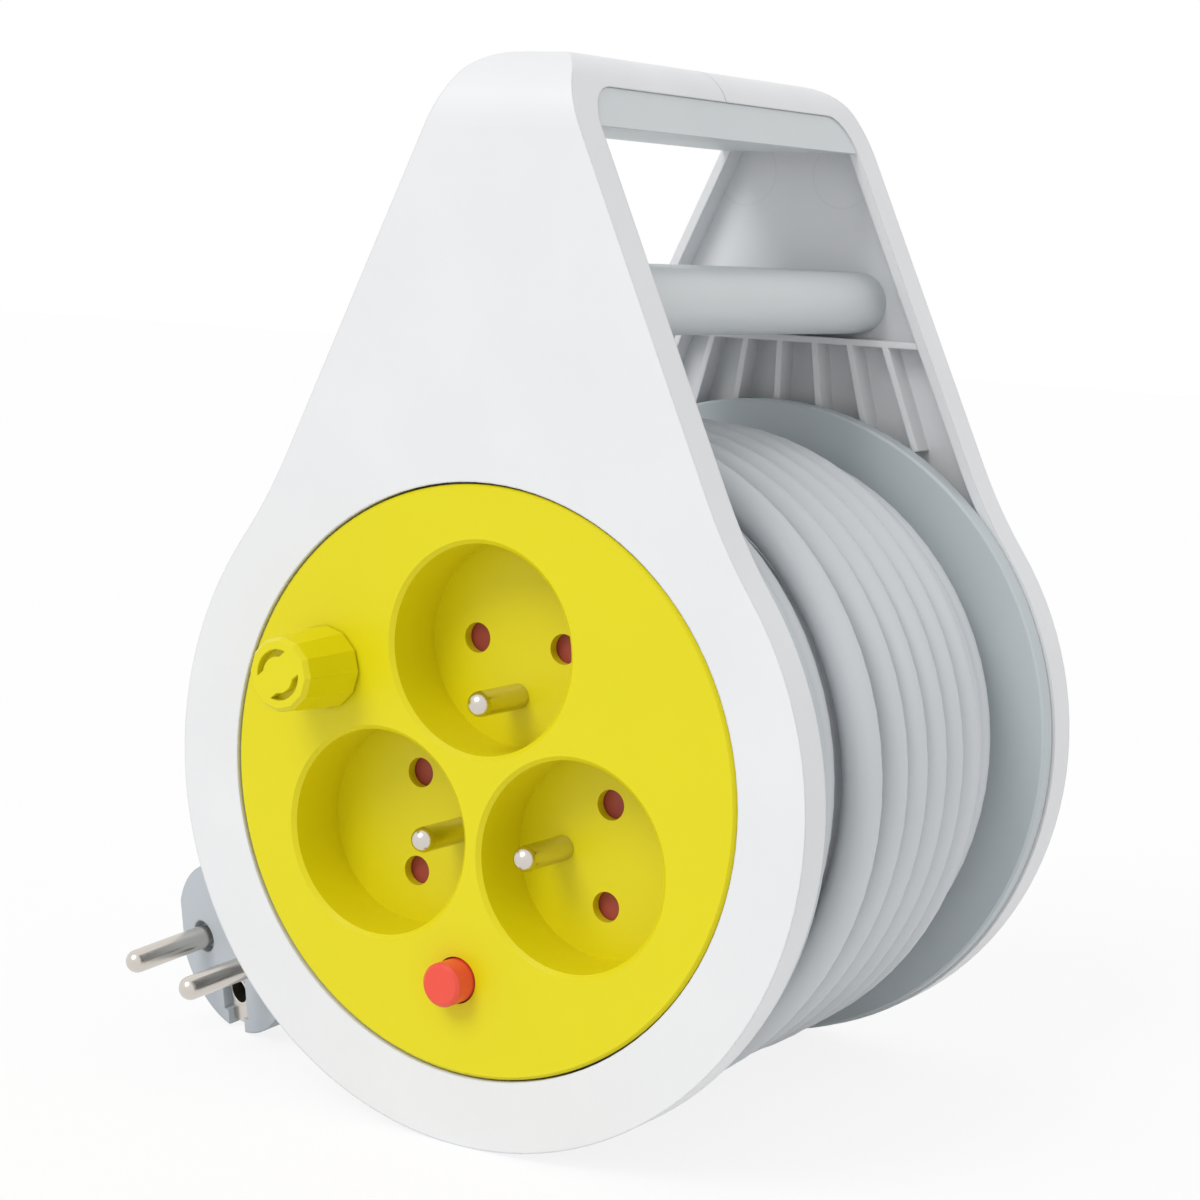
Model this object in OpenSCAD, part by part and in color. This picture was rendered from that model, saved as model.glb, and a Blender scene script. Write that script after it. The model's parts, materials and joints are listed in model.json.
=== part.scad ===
// Extension cord reel: two round plates joined by a carrying strap, and between them a drum
// with three recessed sockets on its front and the mains lead wound round its hub.
// Millimetres. X points right, Y to the rear, Z up. Sizes are set out from the drum's axis
// on the front face, and place() then moves the reel so that it stands on Z = 0.

/* [Housing] */
// Radius of the round lower part
housing_r = 68; // [66:1:76]
// Height of the strap's top above the drum's axis
housing_top = 132; // [126:1:145]
// Depth from the front face to the rear face
housing_depth = 115; // [112:1:130]
// Half width of the neck's flank lines at the top
neck_half = 10; // [8:0.5:14]
// How far each straight flank runs inside the round part's edge
flank_tuck = 3; // [2:0.5:4]
// Radius of the hollow flare between round part and flank
flare_r = 100; // [60:5:140]
// Radius of the neck's top corners, seen from the front
crown_r = 9; // [6:0.5:10]
// Thickness of the plates
plate_t = 2; // [1.6:0.1:2.6]
// Thickness of the rim round each plate
rim_t = 2; // [1.6:0.1:2.6]
// How far each rim is turned in
rim_depth = 7.5; // [7:0.1:9]
// Thickness of the strap
strap_t = 6; // [5:0.5:8]
// Outer radius of the strap's corners, seen from the side
strap_corner_r = 14; // [12:0.5:16]
// Inner radius of the strap's corners, seen from the side
gap_corner_r = 8; // [6:0.5:9]
// Height of the pad under the strap
grip_h = 7.2; // [5:0.2:8]
// Shadow gap where the two halves meet
seam_gap = 0.2; // [0.1:0.05:0.3]

/* [Grip bar and bracing] */
// Width of the cross bar
bar_w = 43.6; // [38:0.2:46]
// Height of the cross bar
bar_h = 12.6; // [12:0.2:15]
// Wall of the cross bar
bar_wall = 1.7; // [1.4:0.1:1.9]
// Height of the bar's centre above the drum's axis
bar_z = 88.3; // [86:0.1:92]
// Radius of the screw posts inside the bar
post_r = 4; // [3.6:0.1:4.2]
// Distance between the two screw posts
post_pitch = 24; // [18:1:28]
// Drop from the bar to the ledge under it
ledge_drop = 1; // [0.6:0.1:2]
// Distance between the ribs along the ledge
rib_pitch = 8; // [6.5:0.1:8.2]
// Ribs on each side of the middle one
rib_pairs = 3; // [2:1:3]
// Thickness of the ledge and the ribs
rib_t = 1.4; // [1:0.1:1.8]

/* [Socket face] */
// Radius of the turning face
disc_r = 54.5; // [53.5:0.1:55.5]
// Thickness of the turning face
disc_t = 2.2; // [2:0.1:2.6]
// Clearance round the turning face
disc_gap = 0.4; // [0.4:0.05:0.6]
// Distance from the axis to the middle of each socket
socket_orbit = 24.5; // [24.4:0.1:25]
// Radius of the socket wells
well_r = 19.36; // [19.2:0.02:19.4]
// Depth of the socket wells
well_depth = 13.5; // [12:0.1:15]
// Wall of the socket wells
well_wall = 1.6; // [1.4:0.1:1.7]
// Distance between the two contact holes
hole_pitch = 19; // [18.8:0.1:19.2]
// Radius of the contact holes
hole_r = 2.85; // [2.75:0.05:2.9]
// Distance from the contact holes' line to the earth pin
earth_offset = 9.9; // [9.6:0.1:10.2]
// Radius of the earth pins and the plug's pins
pin_r = 2.4; // [2.3:0.05:2.5]
// How far the earth pins stand up from the well floor
earth_reach = 14.6; // [13.5:0.1:15]

/* [Drum] */
// Thickness of the drum's flanges
flange_t = 2; // [1.6:0.1:2.4]
// Depth of the rear flange's lip
lip_d = 4.1; // [3.5:0.1:5]
// Wall of the hub
hub_wall = 1.8; // [1.6:0.1:2.2]
// Running gap between drum and housing, along the axis
drum_gap = 0.4; // [0.3:0.05:0.6]
// Radius of the rear bearing boss
boss_r = 9; // [8:0.5:10]
// Radial wall of the bearing bush
bush_wall = 1.95; // [1.6:0.05:2.4]

/* [Crank knob] */
// Where the knob stands: to the left of the axis
knob_x = -34.3; // [-35:0.1:-33]
// Where the knob stands: above the axis
knob_z = 17.4; // [16.5:0.1:18.5]
// How far the knob stands out of the face
knob_reach = 14.5; // [12:0.5:17]
// Radius at the knob's end
knob_end_r = 7; // [6.2:0.1:7.4]
// Radius at the knob's foot
knob_foot_r = 7.9; // [7.5:0.1:8.4]
// Radius of the knob's stem
stem_r = 3.4; // [3:0.1:3.6]

/* [Reset button] */
// Where the button stands: to the left of the axis
button_x = -2.1; // [-2.6:0.1:-1.6]
// Where the button stands: below the axis
button_z = -37; // [-37.4:0.1:-36.8]
// Radius of the button
button_r = 4.1; // [3.8:0.1:4.3]
// How far the button stands out of the face
button_reach = 5; // [4:0.5:6]
// How far the button can be pressed
button_travel = 3; // [2:0.5:4]

/* [Cable and plug] */
// Radius of the cable
cable_r = 3.7; // [3.5:0.05:3.75]
// Thickness of the cable's inner layers on the hub
inner_layer = 4.4; // [4.3:0.05:4.6]
// How far the plug's pins stand out
plug_pin_reach = 19; // [18.5:0.1:19.5]
// Radius of the plug's face
plug_r = 18.2; // [17.8:0.1:18.4]
// Half width of the plug across its flat sides
plug_half = 17.2; // [16.5:0.1:17.5]

/* [Hidden] */
$fn = 96;
hull_fn = 32;
eps = 0.05;
// radial clearance of a turning or sliding fit, and of pieces fixed into each other
run_fit = 0.05;
seat_fit = 0.05;

// ---- housing, derived ----
seam_y = housing_depth / 2;
mid_y = (housing_depth - knob_reach) / 2;
gap_top = housing_top - strap_t;
wide = 3 * housing_r;
// the right flank's outward normal leans up by flank_tilt, and flare_at is the flare's centre
flank_d = housing_r - flank_tuck;
flank_tilt = atan2(housing_top, neck_half) - acos(flank_d / norm([neck_half, housing_top]));
flank_n = [cos(flank_tilt), sin(flank_tilt)];
flare_turn = flank_tilt + acos((flank_d + flare_r) / (housing_r + flare_r));
flare_at = (housing_r + flare_r) * [cos(flare_turn), sin(flare_turn)];
crown_z = housing_top - crown_r;
crown_x = (flank_d - crown_r - crown_z * flank_n.y) / flank_n.x;
ledge_z = bar_z - bar_h / 2 - ledge_drop;
rib_setback = 0.5;
// the ribs fan out from a point this far above the ledge, and end this far below it
rib_fan = 60;
rib_len = 24;
grip_inset = 0.3;
collar_t = 2;
collar_d = 3;

// ---- socket face, derived ----
floor_t = 2;
floor_y = well_depth;
floor_back = well_depth + floor_t;
skirt_t = 2.2;
skirt_in = disc_r - skirt_t;
face_edge = 0.6;
well_edge = 0.8;
// centre and turn of each socket: its earth pin lies below the holes before the turn
SOCKETS = [[90, 0], [210, 90], [330, -90]];
function socket_at(s) = socket_orbit * [cos(s[0]), sin(s[0])];
function turned_by(a, p) = [cos(a) * p.x - sin(a) * p.y, sin(a) * p.x + cos(a) * p.y];
function on_socket(s, p) = socket_at(s) + turned_by(s[1], p);
earth_local = [0, -earth_offset];
// a pin is thinner where it is held
pin_foot_r = pin_r - 0.4;
function hole_local(side) = [side * hole_pitch / 2, 0];

// ---- drum, derived ----
flange_r = housing_r - 0.5;
front_y = rim_depth + drum_gap;
front_back = front_y + flange_t;
rear_back = housing_depth - rim_depth - drum_gap;
rear_y = rear_back - lip_d;
well_reach = socket_orbit + well_r + well_wall;
hub_gap = 0.75;
hub_in = well_reach + hub_gap;
hub_r = hub_in + hub_wall;
hub_join = 55;
spigot_t = 1.7;
spigot_len = 6;
flange_edge = 0.5;

// ---- rear bearing, derived ----
plate_in = housing_depth - plate_t;
boss_y = plate_in - 14;
bush_in = boss_r + seat_fit;
bush_r = bush_in + bush_wall;
bearing_in = bush_r + run_fit;
bearing_r = bearing_in + 4;
bearing_y = boss_y + 0.2;
bearing_back = bearing_y + 11;
gusset_y = bearing_back + 0.3;
axle_screw_r = 1.95;
washer_t = 1.2;
washer_r = bearing_in + 2;
axle_head = [4.5, 2.4];

// ---- contact base: a can behind the wells ----
can_y = floor_back + 0.1;
can_back = can_y + 18.4;
can_r = hub_in - 0.8;
can_t = 1.5;
can_floor = 2;
sleeve_y = floor_back + 2.6;
sleeve_len = 13.9;
sleeve_in = pin_r + run_fit;
sleeve_r = sleeve_in + 0.75;
strip_w = 3;
eye_wall = 1.5;
strip_t = 0.8;
earth_bus_y = floor_back + 4.5;
live_bus_y = floor_back + 8;
neutral_bus_y = floor_back + 12;

// ---- shutters ----
shutter_y = floor_back + 0.3;
shutter_t = 1.6;
shutter_half = 13;
shutter_w = 3.4;
shutter_travel = shutter_w + hole_r + 0.05;
tab_w = 6;
tab_end = 8;
post_len = 2.2;
stop_in = tab_end + shutter_travel + post_len + 0.55;
stop_t = 1.2;
stop_h = 4.4;
guide_t = 1.6;
guide_gap = 0.3;
spring_wire = 0.25;
spring_r = 1.6;

// ---- thermal cutout and its button ----
cutout = [11, 10.4];
cutout_y = 11;
blade_len = 1.9;
cutout_back = can_back - can_floor - blade_len - 0.4;
bracket_t = 1;
bracket_gap = 0.2;
button_hole_r = button_r + 0.3;
button_rim_r = button_r + 1.1;
button_rim_y = disc_t + 0.2;
button_stem_r = 2.4;
button_stem_y = 13;
reset_wire = 0.3;

// ---- knob ----
knob_foot_y = -0.4;
knob_boss_r = stem_r + 2.2;
knob_boss_y = 12.2;
groove_y = knob_boss_y + 0.2;
groove_w = 0.9;
groove_r = stem_r - 0.6;
clip_t = 0.7;

// ---- cable winding: height over the hub along the drum, and where each turn lies ----
wound_y0 = front_back + 2;
// place along the drum at each whole turn, as a share of the room between the flanges
room = rear_y - front_back;
WOUND_TURNS = [[0, 0.065], [1, 0.15], [2, 0.235], [3, 0.39], [4, 0.475], [5, 0.56], [6, 0.645],
    [7, 0.73], [8, 0.815], [9, 0.9], [9.29, 0.925]];
// height of the cable's middle over the inner layers, at a share of that room
WOUND_LAY = [[0.02, 3.2], [0.15, 4.6], [0.235, 10.2], [0.39, 8.4], [0.56, 8.8], [0.73, 8.4],
    [0.815, 5.4], [0.925, 3.1], [0.98, 0.5]];
layer_r = hub_r + inner_layer;
core_gap = 1.6;
loop_rings = 24;
cable_sides = 6;
function wound_share(t) = lookup(t, WOUND_TURNS);
function wound_y(t) = front_back + room * wound_share(t);
function wound_r(share) = layer_r + lookup(share, WOUND_LAY);
// the free lead's route from the winding to the plug, and the strain relief's
LEAD_ROUTE = [[-45, 96, 46], [-53, 96, 44], [-63.5, 95.5, 39], [-71, 94, 31.5], [-75.5, 92.5, 23],
    [-78, 90.5, 14.5], [-78, 89, 5.5], [-77, 87, -3], [-74.5, 84.5, -11.5], [-72.5, 81, -19.5],
    [-70.5, 76, -27.5], [-69, 69.5, -35.5]];
RELIEF_ROUTE = [[-69, 68.5, -36.3], [-68.9, 65.3, -38.8], [-69, 61, -41.5], [-70, 55.8, -43.7],
    [-71.1, 50.7, -45.4]];
RELIEF_R = [cable_r + 0.5, cable_r + 1.1, cable_r + 1.7, cable_r + 2.3, cable_r + 2.8];
lead_sides = 10;
// the winding leaves the drum on a straight line to the lead's first point
leave = LEAD_ROUTE[0];
leave_r = norm([leave.x, leave.z]);
last_share = (leave.y - front_back) / room;
last_r = wound_r(last_share);
leave_turn = atan2(leave.z, leave.x) - acos(last_r / leave_r);
whole_turns = 9;
last_t = whole_turns + leave_turn / 360;
first_t = 0.1;
function round_drum(t) = let (r = wound_r(wound_share(t)), a = 360 * t)
    [r * cos(a), wound_y(t), r * sin(a)];
wound_steps = round((last_t - first_t) * loop_rings);
wound_on = [for (i = [0 : wound_steps]) round_drum(first_t + (last_t - first_t) * i / wound_steps)];
touch = wound_on[wound_steps];
away = (leave - touch) / norm(leave - touch);
// it ends just short of the lead, which belongs to the housing
lead_gap = 0.6;
wound_path = concat(wound_on, [leave - 2.2 * cable_r * away, leave - lead_gap * away]);
// least distance between two turns' surfaces, measured from ring to ring
near = [for (i = [0 : len(wound_on) - 1], j = [i + 18 : i + 30]) if (j < len(wound_path))
    norm(wound_path[i] - wound_path[j]) - 2 * cable_r];
echo(least_gap_between_turns = min(near), turns = last_t - first_t);

// ---- plug ----
plug_at = [-77.5, 27.8, -housing_r + plug_r - 0.1];
plug_turn = [10.4, 0, -15.6];
plug_roll = [0, 4, 0];
plug_slab = 10;
plug_len = 23;
plug_tail_r = 8;
socket_recess = [3.4, 2.2];
clip_w = 5.4;
clip_metal = 0.8;

// ---- general helpers ----
function flip(p) = [-p.x, p.y];
function unit(v) = v / norm(v);
function across_of(v, t) = unit(v - (v * t) * t);
function headings(p) = [for (i = [0 : len(p) - 1])
    unit(p[min(i + 1, len(p) - 1)] - p[max(i - 1, 0)])];
function carried(v, t, i = 0) = i >= len(t) ? [] :
    let (u = across_of(v, t[i])) concat([u], carried(u, t, i + 1));
function ring(c, u, w, r, n) = [for (k = [0 : n - 1])
    c + r * (cos(360 * k / n) * u + sin(360 * k / n) * w)];

// Solid of triangles swept along a path; radius holds one value per point of the path
module swept(path, radius, sides, first) {
    t = headings(path);
    u = carried(first, t);
    last = len(path) - 1;
    points = [for (i = [0 : last]) each ring(path[i], u[i], cross(t[i], u[i]), radius[i], sides)];
    walls = [for (i = [0 : last - 1], k = [0 : sides - 1])
        let (a = i * sides + k, b = i * sides + (k + 1) % sides)
            each [[a, a + sides, b + sides], [a, b + sides, b]]];
    start = [for (k = [1 : sides - 2]) [0, k, k + 1]];
    end = [for (k = [1 : sides - 2]) [last * sides, last * sides + k + 1, last * sides + k]];
    polyhedron(points, concat(start, walls, end));
}

function same(value, path) = [for (p = path) value];

// Coil spring along +Z, from 0 to length
module spring(length, radius, wire, turns, per_turn = 8) {
    steps = turns * per_turn;
    path = [for (i = [0 : steps]) [radius * cos(360 * i / per_turn),
        radius * sin(360 * i / per_turn), wire + (length - 2 * wire) * i / steps]];
    swept(path, same(wire, path), 5, [1, 0, 0]);
}

module place() translate([0, -mid_y, housing_r]) children();
// what is drawn in (X, Z) is given depth from y0 to y1
module slab(y0, y1) translate([0, y1, 0]) rotate([90, 0, 0]) linear_extrude(y1 - y0) children();
// what is drawn in (Y, Z) is given width along X
module across(w) rotate([90, 0, 90]) linear_extrude(w, center = true) children();
// what is drawn in (radius, Y) is turned round the Y axis
module turned() rotate([-90, 0, 0]) rotate_extrude() children();
module rod(y0, y1, r, at = [0, 0]) translate([at.x, y0, at.y]) rotate([-90, 0, 0])
    cylinder(h = y1 - y0, r = r);
module cone(y0, y1, r0, r1, at = [0, 0]) translate([at.x, y0, at.y]) rotate([-90, 0, 0])
    cylinder(h = y1 - y0, r1 = r0, r2 = r1);
module tube(y0, y1, r_in, r_out, at = [0, 0]) difference() {
    rod(y0, y1, r_out, at);
    rod(y0 - 1, y1 + 1, r_in, at);
}
// to the place and turn of a socket, in (X, Z) and in space
module on(s) translate([socket_at(s).x, 0, socket_at(s).y]) rotate([0, -s[1], 0]) children();
module to_rear() translate([0, housing_depth, 0]) mirror([0, 1, 0]) children();

// ---- housing ----
module outline(inset = 0) {
    foot = flare_at - (flare_r + inset) * flank_n;
    side = [crown_x, crown_z] + (crown_r - inset) * flank_n;
    top = [crown_x, crown_z + crown_r - inset];
    circle(housing_r - inset);
    polygon([[0, 0], foot, side, top, flip(top), flip(side), flip(foot)]);
    for (s = [0, 1]) mirror([s, 0]) {
        translate([crown_x, crown_z]) circle(crown_r - inset);
        difference() {
            polygon([[0, 0], flare_at, foot]);
            translate(flare_at) circle(flare_r + inset);
        }
    }
}

// a corner rounded towards the top front, in (Y, Z)
module corner(y, top, r, end) {
    translate([y, -housing_r - 1]) square([end - y, top - r + housing_r + 1]);
    translate([y + r, -housing_r - 1]) square([end - y - r, top + housing_r + 1]);
    translate([y + r, top - r]) circle(r);
}

module pocket() intersection() {
    slab(plate_t, strap_corner_r + gap_corner_r) outline(rim_t);
    across(wide) intersection() {
        corner(plate_t, housing_top - plate_t, strap_corner_r - plate_t, seam_y);
        translate([0, -housing_r - 2]) square([seam_y, gap_top + housing_r + 2]);
    }
}

// ledge under the bar and the ribs that hang from it, between the flanks
module bracing() intersection() {
    slab(plate_t - eps, rim_depth - rib_setback) outline(rim_t / 2);
    union() {
        translate([-housing_r, 0, ledge_z - rib_t]) cube([2 * housing_r, rim_depth, rib_t]);
        for (i = [-rib_pairs : rib_pairs])
            translate([i * rib_pitch, 0, ledge_z]) rotate([0, -atan(i * rib_pitch / rib_fan), 0])
                translate([-rib_t / 2, 0, -rib_len]) cube([rib_t, rim_depth, rib_len - rib_t / 2]);
    }
}

module posts_at() for (s = [-1, 1]) translate([s * post_pitch / 2, 0, bar_z]) children();

module half_shell() {
    difference() {
        intersection() {
            slab(0, seam_y - seam_gap / 2) outline();
            across(wide) corner(0, housing_top, strap_corner_r, seam_y);
        }
        across(wide) corner(rim_depth, gap_top, gap_corner_r, seam_y + 1);
        pocket();
    }
    bracing();
    posts_at() rod(plate_t - eps, seam_y - seam_gap / 2, post_r);
}

screw_r = 1.4;
screw_head = [3, 2];
screw_head_y = seam_y + 20;
screw_tip_y = seam_y - 12;

module front_shell() color([0.91, 0.91, 0.92]) place() difference() {
    union() {
        half_shell();
        rod(plate_t - eps, plate_t + collar_d, disc_r + disc_gap + collar_t);
    }
    rod(-1, rim_depth, disc_r + disc_gap);
    posts_at() rod(screw_tip_y - 2, seam_y + 1, screw_r + seat_fit);
}

module rear_shell() color([0.91, 0.91, 0.92]) place() difference() {
    union() {
        to_rear() half_shell();
        rod(boss_y, plate_in + eps, boss_r);
        for (a = [0 : 60 : 300]) rotate([0, a, 0])
            translate([0, gusset_y, -rib_t / 2]) cube([30, plate_in - gusset_y + eps, rib_t]);
    }
    rod(boss_y - 1, plate_in - 2, axle_screw_r + seat_fit);
    posts_at() {
        rod(seam_y - 1, housing_depth + 1, screw_r + 0.3);
        rod(screw_head_y, housing_depth + 1, screw_head[0] + 0.3);
    }
}

module grip_bar() color([0.78, 0.81, 0.83]) place() translate([0, 0, bar_z]) difference() {
    slab(plate_t + seat_fit, housing_depth - plate_t - seat_fit) oblong(bar_w, bar_h);
    slab(0, housing_depth) oblong(bar_w - 2 * bar_wall, bar_h - 2 * bar_wall);
}
module oblong(w, h) {
    square([w - h, h], center = true);
    for (s = [-1, 1]) translate([s * (w - h) / 2, 0]) circle(h / 2);
}

// pad under the strap, flush with its sides
module strap_grip() color([0.78, 0.81, 0.83]) place() intersection() {
    slab(rim_depth + seat_fit, housing_depth - rim_depth - seat_fit) outline(grip_inset);
    across(wide) intersection() {
        translate([rim_depth, gap_top - grip_h]) square([housing_depth - 2 * rim_depth, grip_h]);
        for (s = [0, 1]) translate([s * seam_y, 0]) mirror([s, 0]) translate([-s * seam_y, 0])
            corner(rim_depth + seat_fit, gap_top - seat_fit, gap_corner_r - seat_fit, seam_y + eps);
    }
}

module shell_screws() color([0.72, 0.73, 0.75]) place() posts_at() {
    rod(screw_tip_y, screw_head_y + eps, screw_r);
    difference() {
        rod(screw_head_y, screw_head_y + screw_head[1], screw_head[0]);
        for (a = [0, 90]) rotate([0, a, 0])
            translate([-1.8, screw_head_y + screw_head[1] - 0.8, -0.4]) cube([3.6, 2, 0.8]);
    }
}

// ---- socket face ----
boss_orbit = skirt_in - 1.7;
BOSS_ANGLES = [30, 150, 270];
module bosses_at() for (a = BOSS_ANGLES)
    translate([boss_orbit * cos(a), 0, boss_orbit * sin(a)]) children();
knob_at = [knob_x, knob_z];
button_at = [button_x, button_z];

module socket_plate() color([0.87, 0.83, 0.08]) place() difference() {
    union() {
        turned() polygon([[0, 0], [disc_r - face_edge, 0], [disc_r, face_edge], [disc_r, front_y],
            [skirt_in, front_y], [skirt_in, disc_t], [0, disc_t]]);
        rod(eps, knob_boss_y, knob_boss_r, knob_at);
        bosses_at() rod(disc_t - eps, front_y, 2.75);
        cutout_bracket();
    }
    for (s = SOCKETS) {
        rod(-1, disc_t + 1, well_r, socket_at(s));
        cone(-eps, well_edge, well_r + well_edge + eps, well_r, socket_at(s));
    }
    rod(-1, knob_boss_y + 1, stem_r + run_fit, knob_at);
    rod(-1, disc_t + 1, button_hole_r, button_at);
    bosses_at() rod(front_y - 4.5, front_y + 1, screw_r + seat_fit);
}

// the cup of one socket, behind the face
module well(s) difference() {
    union() {
        rod(disc_t, floor_back, well_r + well_wall, socket_at(s));
        on(s) shutter_guides();
    }
    rod(disc_t - 1, floor_y, well_r, socket_at(s));
    for (side = [-1, 1]) rod(floor_y - 1, floor_back + 1, hole_r, on_socket(s, hole_local(side)));
    rod(floor_y - 1, floor_back + 1, pin_foot_r + seat_fit, on_socket(s, earth_local));
}
module well_top() color([0.87, 0.83, 0.08]) place() well(SOCKETS[0]);
module well_left() color([0.87, 0.83, 0.08]) place() well(SOCKETS[1]);
module well_right() color([0.87, 0.83, 0.08]) place() well(SOCKETS[2]);

module shutter_guides() {
    for (s = [-1, 1]) translate([s * (shutter_half + guide_gap + guide_t / 2) - guide_t / 2,
        floor_back - eps, -shutter_w]) cube([guide_t, shutter_t + 0.6, 2 * shutter_w + 4]);
    translate([-2.4, floor_back - eps, stop_in]) cube([4.8, stop_h, stop_t]);
}

module cutout_bracket() translate([button_x, 0, button_z]) difference() {
    slab(disc_t - eps, floor_back - 0.3)
        square([for (c = cutout) c + 2 * (bracket_gap + bracket_t)], center = true);
    slab(0, floor_back) square([for (c = cutout) c + 2 * bracket_gap], center = true);
}

module thermal_cutout() color([0.16, 0.16, 0.17]) place() translate([button_x, 0, button_z])
    difference() {
        union() {
            slab(cutout_y, cutout_back) square(cutout, center = true);
            for (s = [-1, 1]) translate([s * 3 - 0.4, cutout_back - eps, -2.4])
                cube([0.8, blade_len, 4.8]);
        }
        rod(cutout_y - 1, button_stem_y + button_travel + 1, button_stem_r + run_fit);
    }

module reset_button() color([0.92, 0.29, 0.24]) place() translate([button_x, 0, button_z]) {
    rod(face_edge - button_reach, button_rim_y + eps, button_r);
    cone(-button_reach, face_edge - button_reach + eps, button_r - face_edge, button_r);
    rod(button_rim_y, button_rim_y + 1.2, button_rim_r);
    rod(button_rim_y, button_stem_y, button_stem_r);
}

module reset_spring() color([0.7, 0.7, 0.72]) place()
    translate([button_x, button_rim_y + 1.25, button_z]) rotate([-90, 0, 0])
        spring(cutout_y - button_rim_y - 1.3, button_stem_r + 0.8, reset_wire, 5);

module earth_pins() color([0.8, 0.79, 0.77]) place() for (s = SOCKETS) {
    at = on_socket(s, earth_local);
    tip = floor_y - earth_reach;
    rod(tip + pin_r, floor_y - seat_fit, pin_r, at);
    translate([at.x, tip + pin_r, at.y]) sphere(pin_r);
    rod(floor_y - 1, earth_bus_y + strip_t + 1, pin_foot_r, at);
    rod(floor_back + seat_fit, floor_back + 1.4, pin_r + 0.9, at);
}

// flat strip through a row of places, with a round eye at each
module strip(y, row, eye_r) slab(y, y + strip_t) {
    for (p = row) translate(p) circle(eye_r);
    for (i = [0 : len(row) - 2]) {
        run = row[i + 1] - row[i];
        translate(row[i]) rotate(atan2(run.y, run.x)) translate([0, -strip_w / 2])
            square([norm(run), strip_w]);
    }
}

module earth_bus() color([0.82, 0.68, 0.36]) place() difference() {
    row = [for (s = [SOCKETS[1], SOCKETS[0], SOCKETS[2]]) on_socket(s, earth_local)];
    strip(earth_bus_y, concat(row, [row[0]]), pin_foot_r + eye_wall);
    for (p = row) rod(earth_bus_y - 1, earth_bus_y + 2, pin_foot_r + seat_fit, p);
}

// the three sleeves that one bus joins: one of each socket
module sleeve_bus(y, side) difference() {
    row = [on_socket(SOCKETS[0], hole_local(side)),
        on_socket(SOCKETS[side > 0 ? 2 : 1], hole_local(-side)),
        on_socket(SOCKETS[side > 0 ? 1 : 2], hole_local(-side))];
    strip(y, row, sleeve_r + eye_wall);
    for (p = row) rod(y - 1, y + 2, sleeve_r + seat_fit, p);
}
module live_bus() color([0.82, 0.68, 0.36]) place() sleeve_bus(live_bus_y, 1);
module neutral_bus() color([0.82, 0.68, 0.36]) place() sleeve_bus(neutral_bus_y, -1);

module contact_sleeves() color([0.84, 0.72, 0.42]) place()
    for (s = SOCKETS, side = [-1, 1]) tube(sleeve_y, sleeve_y + sleeve_len, sleeve_in, sleeve_r,
        on_socket(s, hole_local(side)));

lead_in_y = can_back + 7;
saddle_x = 25;
saddle = [14, 18];
clamp_gap = 1.2;
clamp_top = lead_in_y + 5.5;
clamp_pitch = 13.2;
clamp_head = [2.4, 1.6];
module clamp_screws_at() for (s = [-1, 1])
    translate([saddle_x, 0, s * clamp_pitch / 2]) children();
module lead_in(r) translate([0, lead_in_y, 0]) rotate([0, 90, 0]) cylinder(h = hub_r - 0.4, r = r);

module contact_base() color([0.8, 0.8, 0.78]) place() difference() {
    union() {
        tube(can_y, can_back, can_r - can_t, can_r);
        rod(can_back - can_floor, can_back, can_r);
        for (s = SOCKETS, side = [-1, 1]) rod(sleeve_y + sleeve_len - 1, can_back - 1,
            sleeve_r + 1.4, on_socket(s, hole_local(side)));
        slab(can_back - eps, lead_in_y - clamp_gap / 2) translate([saddle_x, 0])
            square(saddle, center = true);
    }
    for (s = SOCKETS, side = [-1, 1]) rod(sleeve_y, sleeve_y + sleeve_len + seat_fit,
        sleeve_r + seat_fit, on_socket(s, hole_local(side)));
    lead_in(cable_r + seat_fit);
    clamp_screws_at() rod(can_back - 1, clamp_top, screw_r + seat_fit);
    // way through for the lead's cores
    rod(can_back - 3, can_back + 1, 4);
}

module cord_clamp() color([0.3, 0.3, 0.32]) place() difference() {
    slab(lead_in_y + clamp_gap / 2, clamp_top) translate([saddle_x, 0])
        square(saddle, center = true);
    lead_in(cable_r + seat_fit);
    clamp_screws_at() rod(can_back, clamp_top + 1, screw_r + 0.2);
}

module clamp_screws() color([0.72, 0.73, 0.75]) place() clamp_screws_at() {
    rod(can_back, clamp_top + eps, screw_r);
    rod(clamp_top + seat_fit, clamp_top + clamp_head[1], clamp_head[0]);
}

module inner_lead() color([0.79, 0.8, 0.82]) place() intersection() {
    lead_in(cable_r);
    translate([10, 0, -housing_r]) cube([housing_r, housing_depth, 2 * housing_r]);
}

module socket_screws() color([0.72, 0.73, 0.75]) place() bosses_at() {
    rod(front_y - 4, front_back + eps, screw_r);
    rod(front_back + seat_fit, front_back + 1.3, 2.4);
}

// one shutter, in its socket's frame: a bar behind both holes, a tab and a post for the spring
module shutter() {
    translate([-shutter_half, shutter_y, -shutter_w])
        cube([2 * shutter_half, shutter_t, 2 * shutter_w]);
    translate([-tab_w / 2, shutter_y, shutter_w - eps])
        cube([tab_w, shutter_t + 1.4, tab_end - shutter_w + eps]);
    translate([0, shutter_y + spring_r + 0.3, tab_end - eps]) cylinder(h = post_len, r = 0.9);
}
module shutter_spring() translate([0, shutter_y + spring_r + 0.3, tab_end + 0.05])
    spring(stop_in - tab_end - 0.1, spring_r - spring_wire, spring_wire, 5);

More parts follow.
